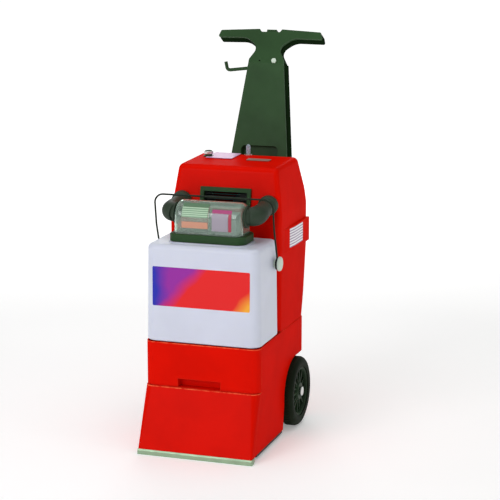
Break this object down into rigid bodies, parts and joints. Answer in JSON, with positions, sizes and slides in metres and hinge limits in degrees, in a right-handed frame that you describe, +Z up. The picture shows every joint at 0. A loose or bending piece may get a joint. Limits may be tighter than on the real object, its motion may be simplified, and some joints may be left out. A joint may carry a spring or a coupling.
{
  "type": "carpet cleaner machine",
  "caption": "Upright carpet cleaner: lift-off recovery tank under a clear dome, pull-out solution tank, vacuum nozzle and brush in front, rear wheels, leaning handle.",
  "frame": {"origin": "on the floor under the middle of the whole machine", "axes": "+X to the right as seen from the front, +Y towards the back, +Z up"},
  "size_m": [0.309, 0.59, 0.9221],
  "materials": {
    "red_shell": "moulded bright red polyethylene, fine satin grain",
    "dark_plastic": "moulded very dark green plastic, fine grain",
    "black_plastic": "black moulded plastic",
    "tank_white": "milky white blow-moulded polyethylene",
    "button_white": "pale moulded plastic",
    "clear_plastic": "clear moulded polycarbonate",
    "boot_clear": "translucent soft boot",
    "screen_mesh": "fine filter screen",
    "dark_rubber": "moulded dark rubber",
    "tyre": "solid black tyre with a fine tread",
    "lip_metal": "extruded aluminium strip, scuffed",
    "steel": "plain steel",
    "zinc": "bright plated steel",
    "wire_black": "black coated wire",
    "bristle": "nylon tufts",
    "hose_plastic": "flexible hose",
    "motor_metal": "cast motor case"
  },
  "bodies": {
    "chassis": {"base_shell": "red_shell", "nozzle_cover": "red_shell", "nozzle_lip": "lip_metal", "bottom_pan": "black_plastic", "brush_rail": "steel", "brush_motor": "motor_metal", "spray_jet": "black_plastic", "pump": "motor_metal", "spray_hose": "hose_plastic", "axle": "steel", "axle_caps": "zinc", "motor_housing": "red_shell", "motor_tray": "dark_plastic", "vacuum_motor": "motor_metal", "fan_housing": "motor_metal", "vacuum_hose": "hose_plastic", "nozzle_hose": "hose_plastic", "vent_frame": "dark_plastic", "vent_grille": "black_plastic", "elbow_left": "dark_rubber", "elbow_right": "dark_rubber", "switch_nut": "zinc", "power_switch": "black_plastic", "hose_coupler": "dark_plastic", "cord_inlet": "black_plastic", "column_front": "dark_plastic", "column_back": "dark_plastic", "column_foot": "dark_plastic", "trigger_switch": "black_plastic", "neck_cap": "button_white", "screws": "zinc", "exhaust_grille": "black_plastic"},
    "brush": {"brush_block": "black_plastic", "brush_bristles": "bristle"},
    "wheel_left": {"tyre_left": "tyre", "hub_left": "dark_plastic"},
    "wheel_right": {"tyre_right": "tyre", "hub_right": "dark_plastic"},
    "solution_tank": {"solution_front": "red_shell", "solution_tank": "red_shell", "solution_valve": "black_plastic", "solution_filter": "screen_mesh"},
    "solution_cap": {"solution_cap": "black_plastic"},
    "recovery_tank": {"recovery_tank": "tank_white", "tank_gasket": "dark_rubber", "bail_buttons": "button_white"},
    "bail": {"bail_handle": "wire_black", "bail_eyes": "black_plastic"},
    "dome": {"dome_base": "dark_plastic", "dome_cover": "clear_plastic", "dome_divider": "clear_plastic", "dome_screen": "screen_mesh"},
    "rotor": {"vacuum_rotor": "steel"},
    "trigger": {"trigger_button": "dark_plastic"},
    "toggle": {"switch_toggle": "zinc", "toggle_boot": "boot_clear"},
    "collar": {"coupler_collar": "zinc"},
    "hook": {"cord_hook": "dark_plastic"}
  },
  "joints": [
    {"name": "wheel_left_spin", "type": "hinge", "parent": "chassis", "child": "wheel_left", "pos_m": [-0.136, 0.035, 0.083], "axis": [1, 0, 0], "continuous": true},
    {"name": "wheel_right_spin", "type": "hinge", "parent": "chassis", "child": "wheel_right", "pos_m": [0.136, 0.035, 0.083], "axis": [1, 0, 0], "continuous": true},
    {"name": "brush_stroke", "type": "slide", "parent": "chassis", "child": "brush", "axis": [1, 0, 0], "range_m": [-0.003, 0.003]},
    {"name": "solution_tank_slide", "type": "slide", "parent": "chassis", "child": "solution_tank", "axis": [0, -1, 0], "range_m": [0, 0.25]},
    {"name": "solution_cap_turn", "type": "hinge", "parent": "solution_tank", "child": "solution_cap", "pos_m": [0, -0.177, 0.245], "axis": [0, 0, 1], "range_deg": [0, 150]},
    {"name": "recovery_tank_slide", "type": "slide", "parent": "chassis", "child": "recovery_tank", "axis": [0, -1, 0], "range_m": [0, 0.2]},
    {"name": "dome_slide", "type": "slide", "parent": "recovery_tank", "child": "dome", "axis": [0, -1, 0], "range_m": [0, 0.12]},
    {"name": "bail_swing", "type": "hinge", "parent": "recovery_tank", "child": "bail", "pos_m": [0, -0.123, 0.426], "axis": [1, 0, 0], "range_deg": [0, 95]},
    {"name": "rotor_spin", "type": "hinge", "parent": "chassis", "child": "rotor", "pos_m": [0, 0.017, 0.41], "axis": [0, 0, 1], "continuous": true},
    {"name": "trigger_press", "type": "slide", "parent": "chassis", "child": "trigger", "axis": [0, -0.4695, -0.8829], "range_m": [0, 0.004], "stiffness_N_per_m": 400, "springref_m": -0.003},
    {"name": "power_toggle", "type": "hinge", "parent": "chassis", "child": "toggle", "pos_m": [0, 0.09, 0.628], "axis": [1, 0, 0], "range_deg": [-11, 11]},
    {"name": "collar_press", "type": "slide", "parent": "chassis", "child": "collar", "axis": [0, 0, -1], "range_m": [0, 0.003], "stiffness_N_per_m": 400, "springref_m": -0.003},
    {"name": "cord_hook_turn", "type": "hinge", "parent": "chassis", "child": "hook", "pos_m": [-0.052, 0.261, 0.826], "axis": [-0.9928, 0, -0.12], "range_deg": [-90, 90]}
  ]
}
